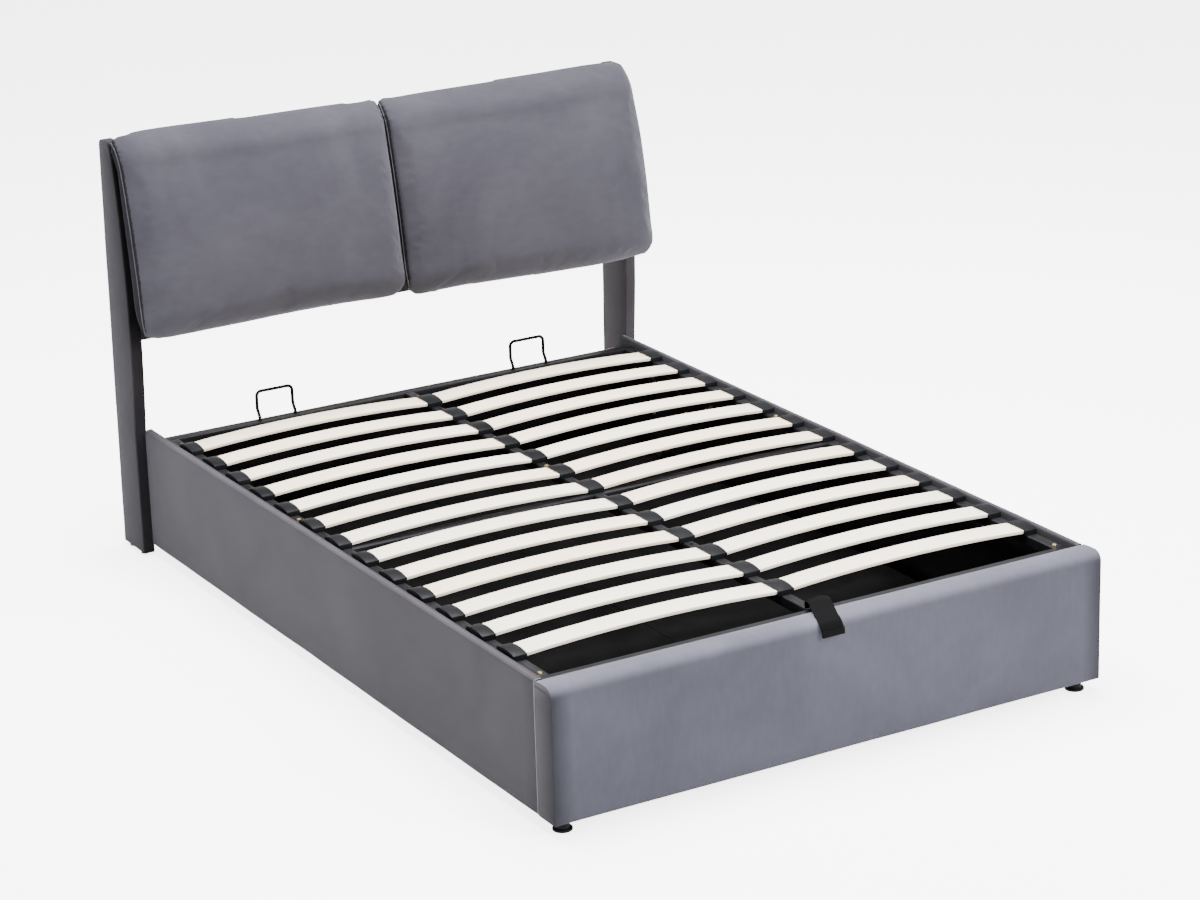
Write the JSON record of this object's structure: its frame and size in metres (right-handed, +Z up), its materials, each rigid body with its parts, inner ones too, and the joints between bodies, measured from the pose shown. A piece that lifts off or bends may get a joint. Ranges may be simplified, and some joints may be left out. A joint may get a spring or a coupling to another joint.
{
  "type": "ottoman bed",
  "caption": "Double ottoman bed with a padded frame, leaning cushions on a headboard and a sprung-slat platform that hinges up over a storage well.",
  "frame": {"origin": "floor level, in the middle of the bed's overall width and length", "axes": "+X to the right seen from the foot, +Y from the foot to the headboard, +Z up"},
  "size_m": [1.505, 2.2336, 1.122],
  "materials": {
    "velvet": "short-pile velvet, grey",
    "timber": "bare board and batten",
    "black_board": "thin board, black on top",
    "birch": "pale bent lamination, satin",
    "black_steel": "satin black powder coat",
    "zinc_steel": "zinc plated",
    "black_plastic": "moulded, satin",
    "black_cloth": "black non-woven cloth and webbing"
  },
  "bodies": {
    "bed_frame": {"board_bolts": "zinc_steel", "centre_bearer": "timber", "centre_feet": "black_plastic", "corner_angle_left": "zinc_steel", "corner_angle_right": "zinc_steel", "corner_feet": "black_plastic", "cushion_tapes": "black_cloth", "floor_boards": "black_board", "footboard_back_board": "timber", "footboard_battens": "timber", "footboard_cover": "velvet", "footboard_front_board": "timber", "head_end_board": "timber", "headboard_board": "timber", "headboard_cover": "velvet", "headboard_cushion_left": "velvet", "headboard_cushion_right": "velvet", "lift_pins_left": "zinc_steel", "lift_pins_right": "zinc_steel", "lift_plate_left": "black_steel", "lift_plate_right": "black_steel", "post_core_left": "timber", "post_core_right": "timber", "post_cover_left": "velvet", "post_cover_right": "velvet", "post_glides": "black_plastic", "rest_batten": "timber", "side_bearers": "timber", "side_rail_board_left": "timber", "side_rail_board_right": "timber", "side_rail_cover_left": "velvet", "side_rail_cover_right": "velvet", "storage_lining": "black_cloth"},
    "platform": {"centre_holders": "black_plastic", "centre_tube_foot": "black_steel", "centre_tube_head": "black_steel", "cross_bars": "black_steel", "hinge_plate_left": "black_steel", "hinge_plate_right": "black_steel", "mattress_loop_left": "black_steel", "mattress_loop_right": "black_steel", "platform_bolts": "zinc_steel", "platform_foot_tube": "black_steel", "platform_head_tube": "black_steel", "pull_strap": "black_cloth", "side_holders_left": "black_plastic", "side_holders_right": "black_plastic", "side_tube_foot_left": "black_steel", "side_tube_foot_right": "black_steel", "side_tube_head_left": "black_steel", "side_tube_head_right": "black_steel", "slats_left": "birch", "slats_right": "birch", "strut_bracket_left": "black_steel", "strut_bracket_right": "black_steel", "tube_sleeves": "black_steel"},
    "gas_strut_tube_left": {"strut_tube_left": "black_steel"},
    "gas_strut_rod_left": {"strut_rod_left": "zinc_steel"},
    "gas_strut_tube_right": {"strut_tube_right": "black_steel"},
    "gas_strut_rod_right": {"strut_rod_right": "zinc_steel"}
  },
  "joints": [
    {"name": "platform_lift", "type": "hinge", "parent": "bed_frame", "child": "platform", "pos_m": [0, 0.78875, 0.27], "axis": [-1, 0, 0], "range_deg": [0, 38]},
    {"name": "strut_turn_left", "type": "hinge", "parent": "platform", "child": "gas_strut_tube_left", "pos_m": [-0.676, 0.46875, 0.275], "axis": [1, 0, 0], "range_deg": [0, 10.6]},
    {"name": "strut_slide_left", "type": "slide", "parent": "gas_strut_tube_left", "child": "gas_strut_rod_left", "axis": [0, 0.8107, -0.5855], "range_m": [0, 0.11]},
    {"name": "strut_turn_right", "type": "hinge", "parent": "platform", "child": "gas_strut_tube_right", "pos_m": [0.676, 0.46875, 0.275], "axis": [1, 0, 0], "range_deg": [0, 10.6]},
    {"name": "strut_slide_right", "type": "slide", "parent": "gas_strut_tube_right", "child": "gas_strut_rod_right", "axis": [0, 0.8107, -0.5855], "range_m": [0, 0.11]}
  ],
  "couplings": [
    {"joint": "strut_turn_left", "follows": "platform_lift", "ratio": 0.2759},
    {"joint": "strut_slide_left", "follows": "platform_lift", "m_per_rad": 0.164},
    {"joint": "strut_turn_right", "follows": "platform_lift", "ratio": 0.2759},
    {"joint": "strut_slide_right", "follows": "platform_lift", "m_per_rad": 0.164}
  ]
}
